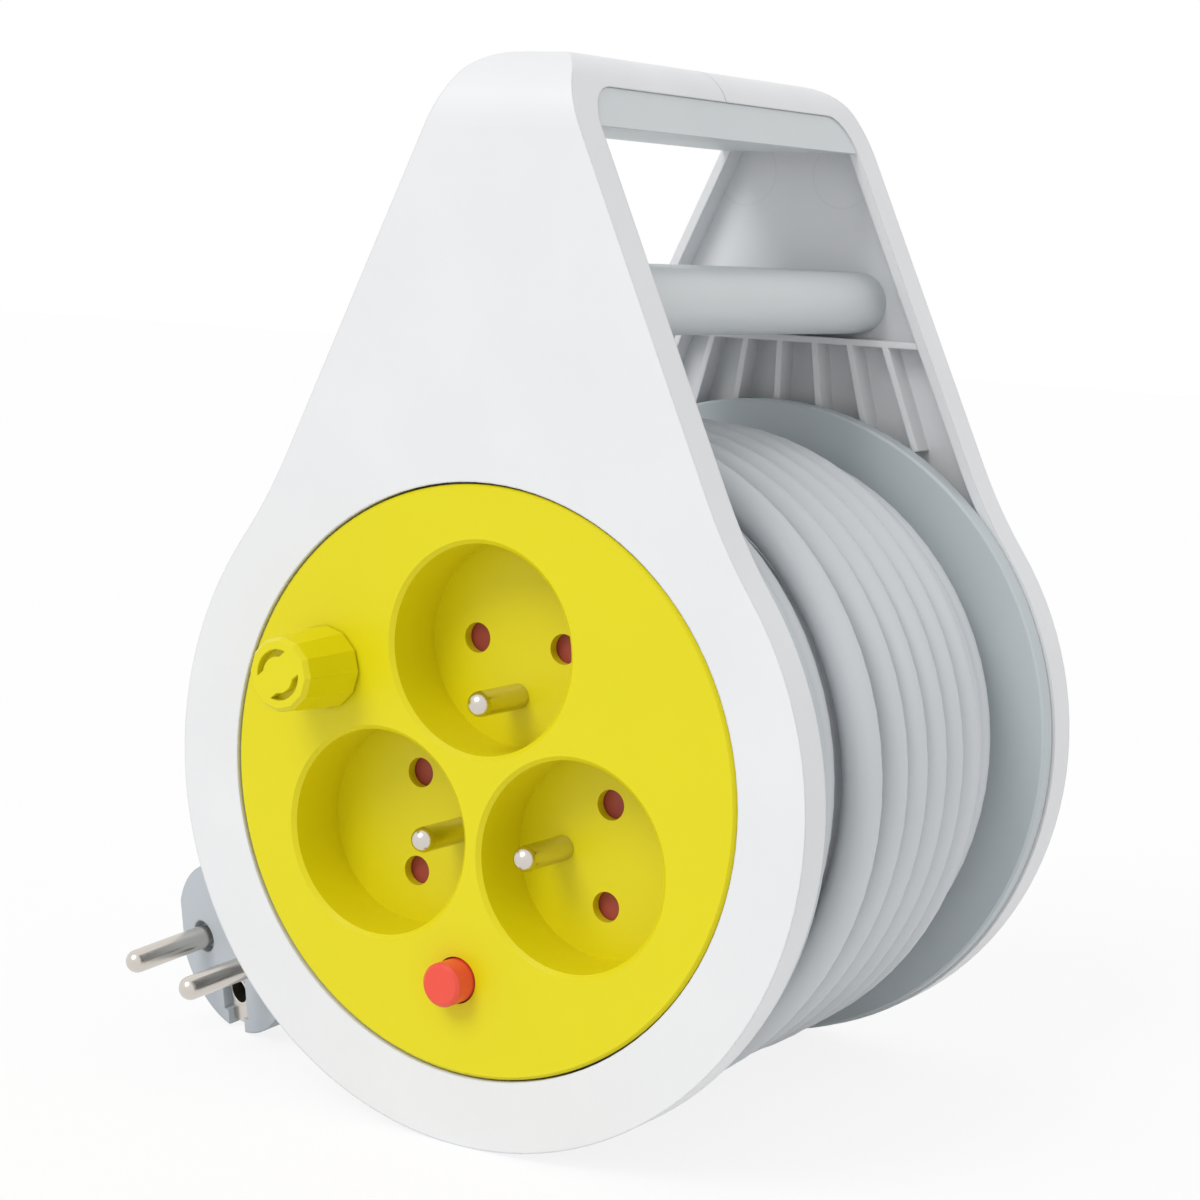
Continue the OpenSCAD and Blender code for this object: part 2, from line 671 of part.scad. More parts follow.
module shutter_top() color([0.65, 0.25, 0.2]) place() on(SOCKETS[0]) shutter();
module shutter_left() color([0.65, 0.25, 0.2]) place() on(SOCKETS[1]) shutter();
module shutter_right() color([0.65, 0.25, 0.2]) place() on(SOCKETS[2]) shutter();
module shutter_spring_top() color([0.7, 0.7, 0.72]) place() on(SOCKETS[0]) shutter_spring();
module shutter_spring_left() color([0.7, 0.7, 0.72]) place() on(SOCKETS[1]) shutter_spring();
module shutter_spring_right() color([0.7, 0.7, 0.72]) place() on(SOCKETS[2]) shutter_spring();

// ---- crank knob ----
module crank_knob() color([0.87, 0.83, 0.08]) place() translate([knob_x, 0, knob_z]) {
    difference() {
        union() {
            translate([0, 1 - knob_reach, 0]) rotate([-90, 0, 0])
                cylinder(h = knob_reach - 1 + knob_foot_y, r1 = knob_end_r, r2 = knob_foot_r, $fn = 12);
            translate([0, -knob_reach, 0]) rotate([-90, 0, 0])
                cylinder(h = 1, r1 = knob_end_r - 0.7, r2 = knob_end_r, $fn = 12);
        }
        // two arc slots in the end face
        slab(-knob_reach - 1, 1.6 - knob_reach) difference() {
            circle(4.7);
            circle(3.4);
            rotate(40) square([30, 5], center = true);
        }
    }
    rod(knob_foot_y - eps, groove_y, stem_r);
    rod(groove_y - eps, groove_y + groove_w + eps, groove_r);
    rod(groove_y + groove_w, groove_y + groove_w + 1, stem_r);
}

module knob_clip() color([0.6, 0.61, 0.63]) place() translate([knob_x, 0, knob_z]) difference() {
    rod(groove_y + 0.1, groove_y + 0.1 + clip_t, stem_r + 1.8);
    rod(groove_y - 1, groove_y + 2, groove_r + seat_fit);
    translate([-1.8, groove_y - 1, -12]) cube([3.6, 3, 12]);
}

// ---- drum ----
module drum_front() color([0.68, 0.72, 0.74]) place() difference() {
    turned() polygon([[hub_in, front_y], [flange_r - flange_edge, front_y],
        [flange_r, front_y + flange_edge], [flange_r, front_back - flange_edge],
        [flange_r - flange_edge, front_back], [hub_r, front_back], [hub_r, hub_join],
        [hub_in, hub_join]]);
    bosses_at() rod(front_y - 1, front_back + 1, screw_r + 0.2);
    translate([hub_in - 2, lead_in_y, 0]) rotate([0, 90, 0])
        cylinder(h = hub_wall + 4, r = cable_r + 0.2);
}

module drum_rear() color([0.68, 0.72, 0.74]) place() {
    turned() polygon([[bearing_in, bearing_y], [bearing_r, bearing_y], [bearing_r, rear_y],
        [hub_in, rear_y], [hub_in, hub_join + spigot_len], [hub_in - spigot_t, hub_join + spigot_len],
        [hub_in - spigot_t, hub_join - spigot_len], [hub_in - seat_fit, hub_join - spigot_len],
        [hub_in - seat_fit, hub_join + seat_fit], [hub_r, hub_join + seat_fit], [hub_r, rear_y],
        [flange_r - flange_edge, rear_y], [flange_r, rear_y + flange_edge], [flange_r, rear_back],
        [flange_r - flange_t, rear_back], [flange_r - flange_t, rear_y + flange_t],
        [bearing_r, rear_y + flange_t], [bearing_r, bearing_back], [bearing_in, bearing_back]]);
    for (a = [30 : 60 : 330]) rotate([0, a, 0])
        translate([bearing_r - 0.5, bearing_y, -rib_t / 2])
            cube([hub_in - bearing_r + 1, rear_y - bearing_y + eps, rib_t]);
}

module rear_bush() color([0.85, 0.84, 0.8]) place()
    tube(boss_y + 0.1, gusset_y - 0.1, bush_in, bush_r);

module axle_washer() color([0.72, 0.73, 0.75]) place()
    tube(boss_y - 0.1 - washer_t, boss_y - 0.1, axle_screw_r + 0.15, washer_r);

module axle_screw() color([0.72, 0.73, 0.75]) place() {
    head_y = boss_y - 0.2 - washer_t;
    rod(head_y - eps, boss_y + 10, axle_screw_r);
    difference() {
        rod(head_y - axle_head[1], head_y, axle_head[0]);
        for (a = [0, 90]) rotate([0, a, 0])
            translate([-2.6, head_y - axle_head[1] - 1, -0.5]) cube([5.2, 2, 1]);
    }
}

// inner layers of the cable, following the outer turns at a small gap
module winding_core() color([0.72, 0.73, 0.75]) place() {
    shares = [for (s = WOUND_LAY) s[0]];
    turned() polygon(concat([[hub_r + 0.1, wound_y0], [layer_r - cable_r, wound_y0]],
        [for (s = shares) if (front_back + room * s > wound_y0)
            [max(wound_r(s) - cable_r - core_gap, hub_r + 0.2), front_back + room * s]],
        [[hub_r + 0.1, front_back + room * 0.985]]));
}

module cable_winding() color([0.79, 0.8, 0.82]) place()
    swept(wound_path, same(cable_r, wound_path), cable_sides, [1, 0, 0]);

module power_lead() color([0.79, 0.8, 0.82]) place()
    swept(LEAD_ROUTE, same(cable_r, LEAD_ROUTE), lead_sides, [0, 1, 0]);

module plug_strain_relief() color([0.73, 0.75, 0.78]) place()
    swept(RELIEF_ROUTE, RELIEF_R, 12, [0, 0, 1]);

// ---- plug, in its own frame: the face is at y = 0 and the pins point to -y ----
module at_plug() place() translate(plug_at) rotate(plug_turn) rotate(plug_roll) children();

module plug_outline(r = plug_r, half = plug_half) intersection() {
    circle(r);
    square([2 * half, 3 * r], center = true);
}

module plug_body() color([0.73, 0.75, 0.78]) at_plug() difference() {
    union() {
        slab(0, plug_slab) plug_outline();
        hull($fn = hull_fn) {
            slab(plug_slab - 1, plug_slab) plug_outline($fn = hull_fn);
            translate([0, plug_len - 1, 0]) rotate([-90, 0, 0])
                cylinder(h = 1, r = plug_tail_r, $fn = hull_fn);
        }
    }
    for (s = [-1, 1]) {
        rod(-1, socket_recess[1], socket_recess[0], hole_local(s));
        rod(0, 9, pin_foot_r + seat_fit, hole_local(s));
    }
    // earth contact: bore, slot in the face and clip seats at top and bottom
    rod(-1, 18.2, 3.3, earth_local);
    translate([-clip_w / 2 - 1.4, -1, -plug_r + 3.4]) cube([clip_w + 2.8, 3.3, 8.6]);
    translate([-clip_w / 2 - eps, -1, plug_r - 2.2]) cube([clip_w + 2 * eps, plug_slab + 3, 3.2]);
    translate([-clip_w / 2 - eps, -1, -plug_r - 1]) cube([clip_w + 2 * eps, plug_slab + 3, 4.5]);
}

module plug_pins() color([0.8, 0.79, 0.77]) at_plug() for (s = [-1, 1]) {
    rod(pin_r - plug_pin_reach, 0, pin_r, hole_local(s));
    rod(-1, 8.9, pin_foot_r, hole_local(s));
    translate([hole_local(s).x, pin_r - plug_pin_reach, 0]) sphere(pin_r);
}

module plug_earth_contact() color([0.8, 0.79, 0.77]) at_plug() {
    difference() {
        union() {
            rod(1.2, 18, 3.2, earth_local);
            translate([-clip_w / 2, 1.3, -plug_r + 1.4]) cube([clip_w, clip_metal, plug_r - 8]);
            translate([-clip_w / 2 + 0.1, 1.3, -plug_r + 1.3]) cube([clip_w - 0.2, 10, clip_metal]);
        }
        rod(-1, 17, pin_r + 0.15, earth_local);
    }
    translate([-clip_w / 2 + 0.1, 1.3, plug_r - 2.1]) cube([clip_w - 0.2, 10, clip_metal]);
}

front_shell();
rear_shell();
grip_bar();
shell_screws();
strap_grip();
socket_plate();
well_top();
well_left();
well_right();
drum_front();
drum_rear();
winding_core();
cable_winding();
earth_pins();
earth_bus();
live_bus();
neutral_bus();
contact_sleeves();
contact_base();
thermal_cutout();
inner_lead();
cord_clamp();
clamp_screws();
socket_screws();
rear_bush();
axle_screw();
axle_washer();
crank_knob();
knob_clip();
reset_button();
reset_spring();
shutter_top();
shutter_left();
shutter_right();
shutter_spring_top();
shutter_spring_left();
shutter_spring_right();
power_lead();
plug_strain_relief();
plug_body();
plug_pins();
plug_earth_contact();
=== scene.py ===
# %% [markdown]
# # An extension cord reel
# The reel is two round white plates joined by a carrying strap. Between them turns a grey drum
# with a yellow face, three recessed sockets, a crank knob and a reset button. Every moulded and
# stamped piece already has its shape in the frame, so this script gives those pieces their
# finishes, and models what is wound, sprung or flexible: the cable, its lead, the strain
# relief and four springs.

import json
import math

import bmesh
import bpy
from mathutils import Matrix, Vector

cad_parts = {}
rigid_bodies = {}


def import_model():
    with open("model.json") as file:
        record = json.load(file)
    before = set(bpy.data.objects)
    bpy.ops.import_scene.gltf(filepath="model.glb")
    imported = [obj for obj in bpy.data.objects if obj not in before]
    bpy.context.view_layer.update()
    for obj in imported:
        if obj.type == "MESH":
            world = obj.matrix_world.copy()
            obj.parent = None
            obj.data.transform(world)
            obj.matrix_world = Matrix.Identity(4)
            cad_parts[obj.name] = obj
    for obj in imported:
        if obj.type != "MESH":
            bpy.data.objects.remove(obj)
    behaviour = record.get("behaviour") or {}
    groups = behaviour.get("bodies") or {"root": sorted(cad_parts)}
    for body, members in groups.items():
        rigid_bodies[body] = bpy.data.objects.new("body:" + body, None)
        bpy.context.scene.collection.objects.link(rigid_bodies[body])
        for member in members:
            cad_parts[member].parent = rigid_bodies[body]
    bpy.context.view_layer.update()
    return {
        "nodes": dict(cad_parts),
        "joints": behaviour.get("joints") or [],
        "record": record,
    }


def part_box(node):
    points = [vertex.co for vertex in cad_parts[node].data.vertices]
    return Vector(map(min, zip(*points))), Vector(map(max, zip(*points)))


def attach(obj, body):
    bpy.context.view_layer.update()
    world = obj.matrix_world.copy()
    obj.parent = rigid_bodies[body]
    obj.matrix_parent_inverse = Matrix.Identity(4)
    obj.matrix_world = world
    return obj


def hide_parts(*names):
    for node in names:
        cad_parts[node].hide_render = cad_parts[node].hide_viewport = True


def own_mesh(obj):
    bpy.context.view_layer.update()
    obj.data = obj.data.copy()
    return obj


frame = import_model()
scene = bpy.context.scene
MM = 0.001

# %% [markdown]
# Sizes on a reel are easiest to give from the drum's axis, at the front face of the housing.
# The frame has its origin on the floor below the middle, so one small function moves a point
# in millimetres from the first to the second.

# %% From reel sizes to the frame
AXIS_HEIGHT = 68
HALF_DEPTH = 50.25


def at(x, y, z):
    """A point given from the drum's axis, in mm, as a point of the frame, in metres."""
    return Vector((x, y - HALF_DEPTH, z + AXIS_HEIGHT)) * MM


print("front end of the axis:", tuple(at(0, 0, 0)))

# %% [markdown]
# The camera stands to the right of the reel, a little above the axis, and leans by a few
# degrees. A long lens keeps the plates' circles nearly parallel. Its place and axes come from
# a fit to the circles of the face and of the wells.

# %% Camera
CAMERA_AT = (279.31, -412.75, 99.41)
CAMERA_RIGHT = (0.846804, 0.529829, 0.046955)
CAMERA_UP = (-0.107863, 0.084607, 0.990559)
CAMERA_BACK = (0.520854, -0.843874, 0.128795)
camera_data = bpy.data.cameras.new("camera")
camera_data.sensor_width = 36
camera_data.lens = 83.71
camera_data.shift_x = 0.0024
camera_data.clip_start = 0.01
camera = bpy.data.objects.new("camera", camera_data)
scene.collection.objects.link(camera)
camera_axes = Matrix((CAMERA_RIGHT, CAMERA_UP, CAMERA_BACK)).transposed()
camera.matrix_world = Matrix.Translation(at(*CAMERA_AT)) @ camera_axes.to_4x4()
scene.camera = camera
print("camera at", tuple(round(v, 4) for v in camera.matrix_world.translation))

# %% [markdown]
# ## Finishes
# Shader nodes are easier to read as sums than as boxes and wires. The class below wraps one
# socket of a node, so that `noise * 0.1 + 0.3` adds the two Math nodes and links them.

# %% A small language for shader maths


class Socket:
    """One output of a shader node, with the arithmetic that the finishes use."""

    def __init__(self, tree, output):
        self.tree, self.output = tree, output

    def math(self, operation, *others):
        node = self.tree.nodes.new("ShaderNodeMath")
        node.operation = operation
        for place, value in enumerate((self,) + others):
            connect(self.tree, value, node.inputs[place])
        return Socket(self.tree, node.outputs[0])

    def __add__(self, other):
        return self.math("ADD", other)

    def __mul__(self, other):
        return self.math("MULTIPLY", other)

    def __sub__(self, other):
        return self.math("SUBTRACT", other)

    def __rsub__(self, other):
        return self * -1 + other

    __radd__, __rmul__ = __add__, __mul__


def connect(tree, value, target):
    """Links a wrapped socket to an input, or writes a plain value into it."""
    if isinstance(value, Socket):
        tree.links.new(value.output, target)
    else:
        target.default_value = value


def add_node(tree, kind, settings=None, inputs=None, output=0):
    """Adds a node with its settings and inputs, and returns one of its outputs, wrapped."""
    node = tree.nodes.new(kind)
    for name, value in (settings or {}).items():
        setattr(node, name, value)
    for name, value in (inputs or {}).items():
        connect(tree, value, node.inputs[name])
    return Socket(tree, node.outputs[output])


def linear(*srgb):
    """A colour as it is read on a screen, 0 to 255, as the linear colour that a shader takes."""
    parts = [v / 255 for v in srgb]
    return [v / 12.92 if v < 0.04045 else ((v + 0.055) / 1.055) ** 2.4 for v in parts] + [1.0]


print("mid grey is", [round(v, 3) for v in linear(128, 128, 128)])

# %% [markdown]
# Moulded plastic is never one flat colour. Its gloss wanders where the tool was polished or
# handled, its skin has a fine grain, and its edges have a small radius that catches the light.
# One recipe covers every piece: a slow noise moves the roughness and the colour a little, a
# fine noise is the grain, and a Bevel node rounds the shading of sharp edges. A noise is 0.5
# on average, so half of each drift is taken off again, and a finish keeps its own roughness.

# %% The recipe for a finish
SLOW_SCALE = 45.0
GLOSS_DRIFT = 0.16
GRAIN_DRIFT = 0.06
GRAIN_STRENGTH = 0.6


def finish(name, colour, rough, metal=0.0, grain=0.4, height=0.004, edge=0.35, mottle=0.04,
           specular=0.5, lines=None):
    """A material: grain is in mm across, height and edge in mm, mottle a share of the colour.
    lines takes the tree and a place, and gives a mask on which painted shade darkens the colour."""
    material = bpy.data.materials.new(name)
    material.use_nodes = True
    tree = material.node_tree
    shader = next(n for n in tree.nodes if n.type == "BSDF_PRINCIPLED")
    shader.inputs["Metallic"].default_value = metal
    shader.inputs["Specular IOR Level"].default_value = specular
    place = add_node(tree, "ShaderNodeTexCoord", output=3)
    slow = add_node(tree, "ShaderNodeTexNoise", None,
                    {"Vector": place, "Scale": SLOW_SCALE, "Detail": 3.0})
    fine = add_node(tree, "ShaderNodeTexNoise", None,
                    {"Vector": place, "Scale": 1 / (grain * MM), "Detail": 2.0})
    least = rough - (GLOSS_DRIFT + GRAIN_DRIFT) / 2
    connect(tree, slow * GLOSS_DRIFT + fine * GRAIN_DRIFT + least, shader.inputs["Roughness"])
    darker = [v * (1 - mottle) for v in colour[:3]] + [1.0]
    tint = add_node(tree, "ShaderNodeMix", {"data_type": "RGBA"}, output=2)
    mix = tint.output.node
    # Where lines are given, their mask paints shade by taking the colour to its darker end.
    shade = slow if lines is None else slow.math("MAXIMUM", lines(tree, place))
    connect(tree, shade, mix.inputs[0])
    connect(tree, colour, mix.inputs[6])
    connect(tree, darker, mix.inputs[7])
    connect(tree, tint, shader.inputs["Base Color"])
    bump = add_node(tree, "ShaderNodeBump", None,
                    {"Height": fine, "Distance": height * MM, "Strength": GRAIN_STRENGTH})
    if edge:
        bevel = add_node(tree, "ShaderNodeBevel", {"samples": 4}, {"Radius": edge * MM})
        connect(tree, bevel, bump.output.node.inputs["Normal"])
    connect(tree, bump, shader.inputs["Normal"])
    return material


# %% [markdown]
# The rear plate's inner face shows two round marks, where pins pushed it out of its mould.
# Their shallow edges hold thin lines of shade that are too fine to model, so a mask paints that
# shade: it darkens the plate's colour on two thin circles, and only near that face.

# %% Painted shade round the marks of the mould, and the list of finishes
PIN_MARKS = [(-12.8, 114.7), (10.1, 114.7)]
MARK_R = 7.0
SHADE_LINE = 0.22
MARKED_FACE = 113
MARK_DEPTH = 0.5


def pin_mark_shade(tree, place):
    """A mask of painted shade that is 1 on a thin circle round each mark, and 0 elsewhere."""
    split = tree.nodes.new("ShaderNodeSeparateXYZ")
    connect(tree, place, split.inputs[0])
    x, y, z = (Socket(tree, output) for output in split.outputs)
    masks = []
    for mark_x, mark_z in PIN_MARKS:
        middle = at(mark_x, MARKED_FACE, mark_z)
        side, up = x - middle.x, z - middle.z
        from_line = ((side * side + up * up).math("SQRT") - MARK_R * MM).math("ABSOLUTE")
        on_shade_line = from_line.math("LESS_THAN", SHADE_LINE * MM)
        on_face = (y - middle.y).math("ABSOLUTE").math("LESS_THAN", MARK_DEPTH * MM)
        masks.append(on_shade_line * on_face)
    return masks[0] + masks[1]


YELLOW = linear(226, 214, 8)
FINISHES = {
    # The housing's colour also carries painted shade on thin circles round the two pin marks.
    "housing": finish("white_housing", linear(232, 233, 235), 0.38, mottle=0.08, edge=0.5,
                      lines=pin_mark_shade),
    "socket_face": finish("yellow_face", YELLOW, 0.4, height=0.008, edge=0, specular=0.35),
    "drum": finish("grey_drum", linear(194, 202, 205), 0.46, height=0.012),
    "bar": finish("pale_bar", linear(210, 215, 217), 0.42, height=0.008, edge=0.3),
    "cable": finish("cable_sheath", linear(208, 211, 214), 0.5, grain=0.25, height=0.02),
    "plug": finish("plug_grey", linear(186, 193, 199), 0.5, grain=0.3, height=0.03, edge=0.6),
    "pin_metal": finish("nickel", linear(214, 208, 200), 0.22, metal=1.0, height=0.001,
                        edge=0.15),
    "contact_brass": finish("stamped_brass", linear(214, 184, 120), 0.32, metal=1.0, edge=0.1),
    "steel": finish("zinc_steel", linear(190, 192, 196), 0.34, metal=1.0, edge=0.12),
    "shutter": finish("shutter_brown", linear(163, 66, 50), 0.5, edge=0.2),
    "button": finish("button_red", linear(237, 78, 60), 0.34, edge=0.3),
    "insulator": finish("insulator", linear(210, 209, 202), 0.5, edge=0.2),
    "dark_plastic": finish("dark_plastic", linear(42, 42, 44), 0.45, edge=0.2),
}
KNOB_FINISH = finish("yellow_knob", YELLOW, 0.36, height=0.006, edge=0.35, specular=0.35)
for part in frame["record"]["subparts"]:
    for place in frame["nodes"][part["node"]].material_slots:
        knob = part["node"] == "crank_knob"
        place.material = KNOB_FINISH if knob else FINISHES[part["material_slot"]]
print("finishes:", len(FINISHES))

# %% [markdown]
# ## The wound cable
# On the real reel the cable is one long tube that winds from flange to flange and back. The
# outer layer shows its turns, so it is a curve with a round section, which stays smooth from
# any side. It follows the same places along the drum and the same heights as the frame's
# winding, which two tables give. TURNS pairs a count of turns with how far along the drum the
# cable has come, as a share of the room between the flanges, and has a wide step after the
# second turn. LAY pairs that share with the height of the cable over the lowest layer, in mm.

# %% The outer turns
CABLE_R = 3.7
HUB_R = 48.01
LAYER_R = HUB_R + 4.4
FLANGE_BACK = 9.9
ROOM = 93.1
TURNS = [(0, 0.065), (1, 0.15), (2, 0.235), (3, 0.39), (4, 0.475), (5, 0.56), (6, 0.645),
         (7, 0.73), (8, 0.815), (9, 0.9), (9.29, 0.925)]
LAY = [(0.02, 3.2), (0.15, 4.6), (0.235, 10.2), (0.39, 8.4), (0.56, 8.8), (0.73, 8.4),
       (0.815, 5.4), (0.925, 3.1), (0.98, 0.5)]
LEAD_ROUTE = [(-45, 96, 46), (-53, 96, 44), (-63.5, 95.5, 39), (-71, 94, 31.5),
              (-75.5, 92.5, 23), (-78, 90.5, 14.5), (-78, 89, 5.5), (-77, 87, -3),
              (-74.5, 84.5, -11.5), (-72.5, 81, -19.5), (-70.5, 76, -27.5), (-69, 69.5, -35.5)]
RELIEF_ROUTE = [(-69, 69.5, -35.5), (-68.9, 65.3, -38.8), (-69, 61, -41.5),
                (-70, 55.8, -43.7), (-71.1, 50.7, -45.4)]
LEAD_GAP = 0.1
END_STRETCH = 2.2 * CABLE_R
FIRST_TURN = 0.1
WHOLE_TURNS = 9
RINGS = 72


def between(value, table):
    """The value that a table of pairs gives, on straight lines between its rows."""
    if value <= table[0][0]:
        return table[0][1]
    for (a, low), (b, high) in zip(table, table[1:]):
        if value <= b:
            return low + (high - low) * (value - a) / (b - a)
    return table[-1][1]


def wound_radius(share):
    """The distance of the cable's middle from the axis, in mm, at a share of the room."""
    return LAYER_R + between(share, LAY)


def wound_point(turn):
    """The cable's middle after so many turns, in mm from the front end of the axis."""
    share = between(turn, TURNS)
    angle = 2 * math.pi * turn
    radius = wound_radius(share)
    return Vector((radius * math.cos(angle), FLANGE_BACK + ROOM * share, radius * math.sin(angle)))


def tube(name, points, radius, slot, sides=5):
    """A curve with a round section through points given in mm from the drum's axis."""
    data = bpy.data.curves.new(name, "CURVE")
    data.dimensions = "3D"
    data.bevel_depth = radius * MM
    data.bevel_resolution = sides
    data.use_fill_caps = True
    spline = data.splines.new("POLY")
    spline.points.add(len(points) - 1)
    for knot, point in zip(spline.points, points):
        knot.co = list(at(*point)) + [1.0]
    piece = bpy.data.objects.new(name, data)
    scene.collection.objects.link(piece)
    data.materials.append(FINISHES[slot])
    return piece


# The last turn ends where a straight line to the start of the lead touches the winding.
leave = Vector(LEAD_ROUTE[0])
leave_share = (leave.y - FLANGE_BACK) / ROOM
touch = math.acos(wound_radius(leave_share) / math.hypot(leave.x, leave.z))
leave_turn = (math.atan2(leave.z, leave.x) - touch) / (2 * math.pi)
turns = WHOLE_TURNS + leave_turn - FIRST_TURN
steps = round(turns * RINGS)
wound = [wound_point(FIRST_TURN + turns * i / steps) for i in range(steps + 1)]
away = (leave - wound[-1]).normalized()
wound += [leave - END_STRETCH * away, leave - LEAD_GAP * away]
turns_piece = tube("cable_turns", wound, CABLE_R, "cable")
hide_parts("cable_winding")
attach(turns_piece, "drum")
print("turns shown:", round(turns, 2), "rings:", len(wound))

# %% [markdown]
# Under the outer turns lie the inner layers. Only slits of them show, so a ring with one
# rounded crest for each turn says enough. The profile is a chain of edges, and one spin about
# the drum's axis makes the ring.

# %% The inner layers
CREST = 1.1
CORE_START = FLANGE_BACK + 2
CORE_LENGTH = ROOM * 0.985 - 2
CORE_STEPS = 240
CORE_TURN_STEPS = 96
UNDER_TURNS = 0.7
OVER_HUB = 0.1


def core_profile():
    """The inner layers' outline, from the front flange to the rear one, as (radius, y)."""
    places = [CORE_START + CORE_LENGTH * i / CORE_STEPS for i in range(CORE_STEPS + 1)]
    outline = [(HUB_R + OVER_HUB, places[0])]
    for y in places:
        top = wound_radius((y - FLANGE_BACK) / ROOM) - CABLE_R - UNDER_TURNS - CREST
        crest = CREST * abs(math.sin(math.pi * y / (2 * CABLE_R)))
        outline.append((max(top, HUB_R + 2 * OVER_HUB) + crest, y))
    return outline + [(HUB_R + OVER_HUB, places[-1])]


def mesh_piece(name, shape, slot, body):
    """Writes a bmesh to a new object that takes its finish from a slot and rides on a body."""
    bmesh.ops.remove_doubles(shape, verts=shape.verts, dist=1e-7)
    bmesh.ops.recalc_face_normals(shape, faces=shape.faces)
    for face in shape.faces:
        face.smooth = True
    data = bpy.data.meshes.new(name)
    shape.to_mesh(data)
    shape.free()
    piece = bpy.data.objects.new(name, data)
    scene.collection.objects.link(piece)
    data.materials.append(FINISHES[slot])
    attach(piece, body)
    return piece


shape = bmesh.new()
chain = [shape.verts.new(at(r, y, 0)) for r, y in core_profile()]
chain.append(chain[0])
edges = [shape.edges.new(pair) for pair in zip(chain, chain[1:])]
bmesh.ops.spin(shape, geom=list(shape.verts) + edges, cent=at(0, 0, 0), axis=(0, 1, 0),
               angle=2 * math.pi, steps=CORE_TURN_STEPS, use_merge=True)

# %% [markdown]
# Where the outer turns stand apart, the layer under them has sunk, so the gap looks deep. Each
# point of the ring is measured to the nearest turn above it. Past a little more than the
# cable's own radius it sinks, over a short slope, but never down to the hub.

# %% The sunk layer
SINK = 6.0
SINK_STARTS = 4.2
SINK_SLOPE = 2.2
SINK_FROM = FLANGE_BACK + 12
SINK_TO = FLANGE_BACK + 80
LOWEST = HUB_R + 0.3
middle = at(0, 0, 0)
for vert in shape.verts:
    side, along, up = (vert.co - middle) / MM
    radius = math.hypot(side, up)
    turn = math.atan2(up, side) / (2 * math.pi) % 1
    nearest = min(abs(along - FLANGE_BACK - ROOM * between(turn + n, TURNS))
                  for n in range(WHOLE_TURNS + 1))
    sunk = min(max((nearest - SINK_STARTS) / SINK_SLOPE, 0), 1) * SINK
    if radius > LOWEST and sunk > 0 and SINK_FROM < along < SINK_TO:
        scale = max(radius - sunk, LOWEST) / radius
        vert.co.x, vert.co.z = middle.x + side * scale * MM, middle.z + up * scale * MM
core = mesh_piece("inner_layers", shape, "cable", "drum")
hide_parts("winding_core")
print("inner layers:", len(core.data.polygons), "faces")

# %% [markdown]
# ## The springs
# Steel springs push the reset button and the three shutters back. The frame says which they
# are, how each joint moves, and which end of each spring stands still. A spring is a round
# wire wound on a helix, and its first and last coils lie flat. A spin that also climbs at
# each step makes just that from one small circle. The result is a mesh, and not a curve.

# %% The springs
COILS = 5
COIL_STEPS = 24
FLAT_STEPS = 15
WIRE_SIDES = 10
WIRE_R = {"reset_spring": 0.3}
THIN_WIRE_R = 0.25


def coil(start, way, length, radius, wire):
    """A spring of round wire from start along way, in metres of the frame, as a bmesh."""
    side = way.orthogonal().normalized()
    upright = Matrix((side, way, side.cross(way))).transposed().to_4x4()
    foot = Matrix.Translation(start + side * radius + way * wire)
    shape = bmesh.new()
    bmesh.ops.create_circle(shape, segments=WIRE_SIDES, radius=wire, matrix=foot @ upright)
    section = list(shape.verts) + list(shape.edges)
    rising = COILS * COIL_STEPS - 2 * FLAT_STEPS
    climb = way * (length - 2 * wire) / rising
    for steps, lift in ((FLAT_STEPS, 0 * way), (rising, climb), (FLAT_STEPS, 0 * way)):
        spun = bmesh.ops.spin(shape, geom=section, cent=start, axis=way, dvec=lift,
                              angle=2 * math.pi * steps / COIL_STEPS, steps=steps)
        section = spun["geom_last"]
    bmesh.ops.holes_fill(shape, edges=list(shape.edges))
    return shape


for joint in frame["joints"]:
    for held in joint.get("deforming_nodes", []):
        node = held["node"]
        low, high = (Vector(corner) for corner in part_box(node))
        way = Vector(joint["axis"])
        along = "xyz".index(held["mode"][-1])
        length = high[along] - low[along]
        wire = WIRE_R.get(node, THIN_WIRE_R) * MM
        radius = (high - low)[(along + 1) % 3] / 2 - wire
        start = (low + high) / 2 - way * length / 2
        fixed = start.copy()
        fixed[along] = held[f"fixed_end_{'xyz'[along]}_m"]
        shape = coil(start, way, length, radius, wire)
        spring = mesh_piece(f"{node}_coil", shape, "steel", joint["parent"])
        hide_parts(node)
        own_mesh(spring)

# %% [markdown]
# ## The free lead
# The last turn leaves the drum on the far side, bends down behind the housing and runs forward
# to the plug. A cable this thick keeps one smooth bend, so the route's points are joined by a
# curve that passes through each of them, and its real length is measured along it.

# %% The lead


def smooth_route(points, cuts=8):
    """Points on a curve through all the given ones, with cuts steps between each two."""
    route = [Vector(p) for p in points]
    route = [2 * route[0] - route[1]] + route + [2 * route[-1] - route[-2]]
    fine = []
    for a, b, c, d in zip(route, route[1:], route[2:], route[3:]):
        for i in range(cuts):
            t = i / cuts
            fine.append(0.5 * (2 * b + (c - a) * t + (2 * a - 5 * b + 4 * c - d) * t ** 2
                               + (3 * b - a - 3 * c + d) * t ** 3))
    return fine + [route[-2]]


lead_points = smooth_route(LEAD_ROUTE)
lead_length = sum((b - a).length for a, b in zip(lead_points, lead_points[1:])) * MM
lead = tube("free_lead", lead_points, CABLE_R, "cable", sides=6)
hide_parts("power_lead")
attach(lead, "housing")
print("free lead:", round(lead_length * 1000, 1), "mm")

# %% [markdown]
# The strain relief is a tapered sleeve moulded onto the cable, with rings cut into it so that
# it bends without a kink. Circles are set along its route and bridged one to the next: where
# the radius drops for a short way, the sleeve has a ring groove.

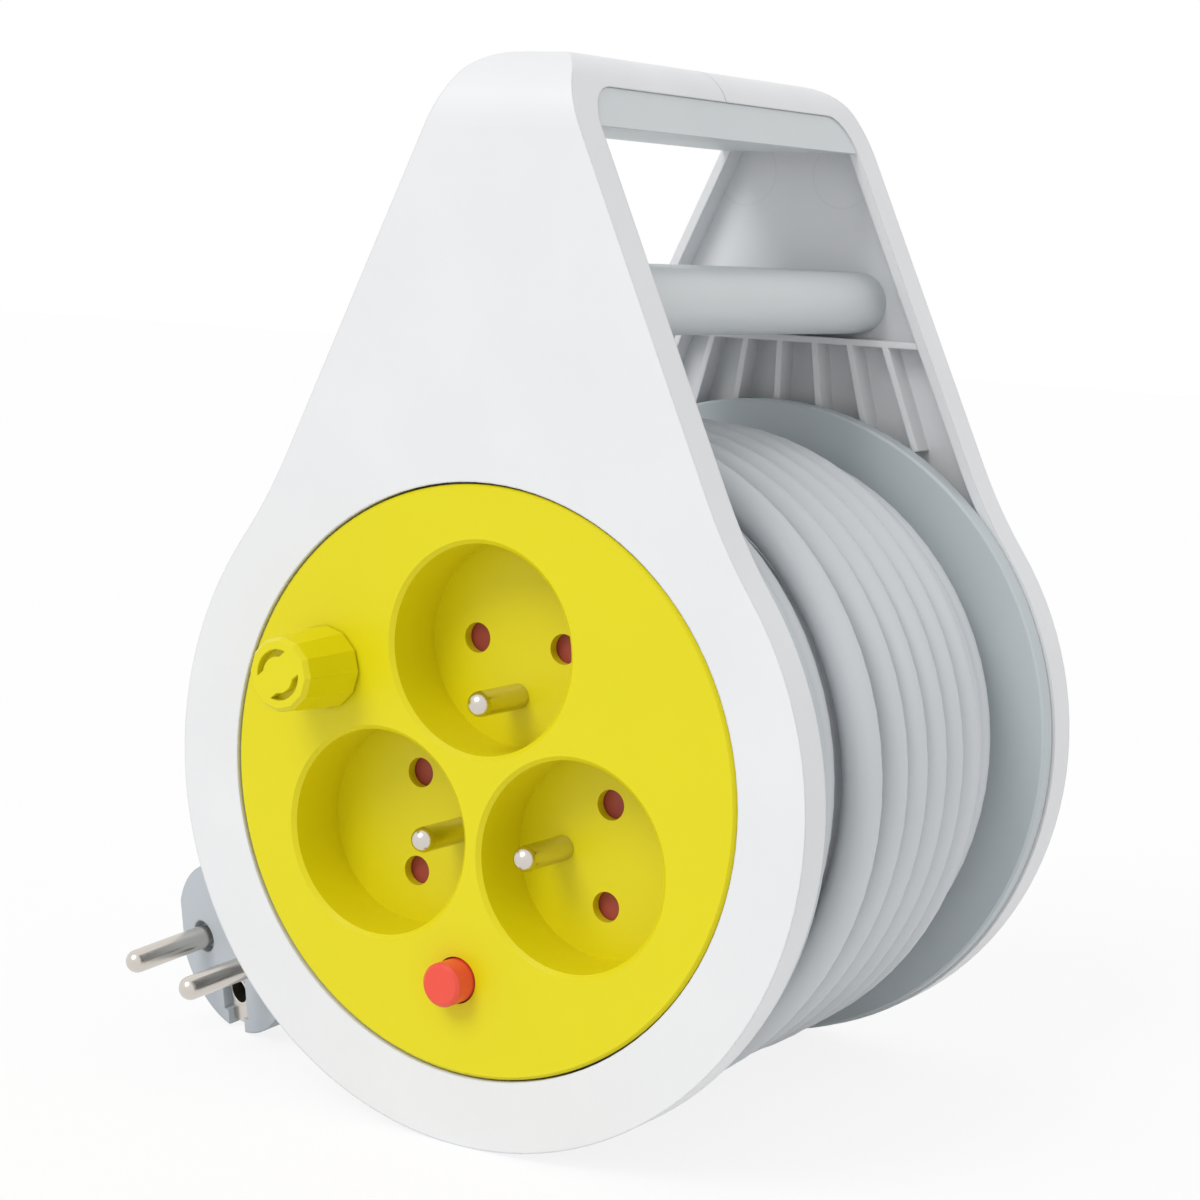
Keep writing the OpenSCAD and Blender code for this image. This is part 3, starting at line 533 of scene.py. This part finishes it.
# %% The strain relief
INTO_PLUG = (-71.7, 48.6, -45.9)
SLEEVE_WALL = 0.5
SLEEVE_SWELL = 2.3
GROOVE = 0.7
GROOVED = (0.12, 0.9)
GROOVE_EVERY = 6
GROOVE_RINGS = (3, 4)
relief_points = smooth_route(RELIEF_ROUTE + [INTO_PLUG], cuts=12)
shape = bmesh.new()
last = len(relief_points) - 1
loops = []
for i, point in enumerate(relief_points):
    ahead = relief_points[min(i + 1, last)] - relief_points[max(i - 1, 0)]
    turn = ahead.to_track_quat("Z", "X").to_matrix().to_4x4()
    share = i / last
    radius = CABLE_R + SLEEVE_WALL + SLEEVE_SWELL * share
    if GROOVED[0] < share < GROOVED[1] and i % GROOVE_EVERY in GROOVE_RINGS:
        radius -= GROOVE
    made = bmesh.ops.create_circle(shape, cap_ends=i in (0, last), segments=32,
                                   radius=radius * MM,
                                   matrix=Matrix.Translation(at(*point)) @ turn)
    ring = made["verts"]
    loops.append([shape.edges.get(pair) for pair in zip(ring, ring[1:] + ring[:1])])
for a, b in zip(loops, loops[1:]):
    bmesh.ops.bridge_loops(shape, edges=a + b)
relief = mesh_piece("strain_relief", shape, "plug", "housing")
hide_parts("plug_strain_relief")
at(*LEAD_ROUTE[0])
print("strain relief:", len(relief.data.polygons), "faces")

# %% [markdown]
# ## Stage and light
# The reel stands on white, in soft light from the front left and above. A wide sun gives the
# one soft shadow, the sky fills the rest, and both together are set so that a colour renders
# about as it is written. The white of the floor and behind the reel is only for the camera and
# for reflections, so it doesn't add light.

# %% The floor
FLOOR_HALF = 3
FLOOR_GLOW = 0.85
WHITE = (1, 1, 1, 1)


def backdrop_rays(tree):
    """1 for rays of the camera, of reflections and of glass, 0 for light on the object."""
    path = tree.nodes.new("ShaderNodeLightPath")
    kinds = ("Is Camera Ray", "Is Glossy Ray", "Is Transmission Ray")
    seen, mirrored, through = (Socket(tree, path.outputs[kind]) for kind in kinds)
    return (seen + mirrored + through).math("MINIMUM", 1.0)


shape = bmesh.new()
bmesh.ops.create_grid(shape, x_segments=1, y_segments=1, size=FLOOR_HALF)
floor_data = bpy.data.meshes.new("floor")
shape.to_mesh(floor_data)
shape.free()
floor = bpy.data.objects.new("floor", floor_data)
scene.collection.objects.link(floor)
floor_material = bpy.data.materials.new("floor")
floor_material.use_nodes = True
tree = floor_material.node_tree
tree.nodes.clear()
matt = add_node(tree, "ShaderNodeBsdfDiffuse", None, {"Color": linear(247, 247, 247)})
glow = add_node(tree, "ShaderNodeEmission", None, {"Color": WHITE, "Strength": 1.0})
mixed = add_node(tree, "ShaderNodeMixShader", None,
                 {0: backdrop_rays(tree) * FLOOR_GLOW, 1: matt, 2: glow})
output = tree.nodes.new("ShaderNodeOutputMaterial")
tree.links.new(mixed.output, output.inputs["Surface"])
floor_data.materials.append(floor_material)
print("floor:", 2 * FLOOR_HALF, "m wide")

# %% [markdown]
# The sky lights the reel evenly from all sides, so it fills the shadows. A strength under 1
# keeps the white plates from clipping. The sun is 30 degrees wide, which blurs the edge of its
# shadow as a large soft lamp would.

# %% The sky and the sun
SKY_LIGHT = 0.74
SUN_LIGHT = 1.15
SUN_WIDTH = 30
SUN_FROM = (-0.2, -0.75, 0.75)
world = bpy.data.worlds.new("world")
scene.world = world
world.use_nodes = True
tree = world.node_tree
tree.nodes.clear()
sky = add_node(tree, "ShaderNodeBackground", None, {"Color": WHITE, "Strength": SKY_LIGHT})
white = add_node(tree, "ShaderNodeBackground", None, {"Color": WHITE, "Strength": 1.0})
behind = add_node(tree, "ShaderNodeMixShader", None, {0: backdrop_rays(tree), 1: sky, 2: white})
output = tree.nodes.new("ShaderNodeOutputWorld")
tree.links.new(behind.output, output.inputs["Surface"])
sun_data = bpy.data.lights.new("sun", "SUN")
sun_data.energy = SUN_LIGHT
sun_data.angle = math.radians(SUN_WIDTH)
sun = bpy.data.objects.new("sun", sun_data)
scene.collection.objects.link(sun)
sun.rotation_euler = Vector(SUN_FROM).to_track_quat("Z", "Y").to_euler()
scene.view_settings.view_transform = "Standard"
print("sun from", SUN_FROM)
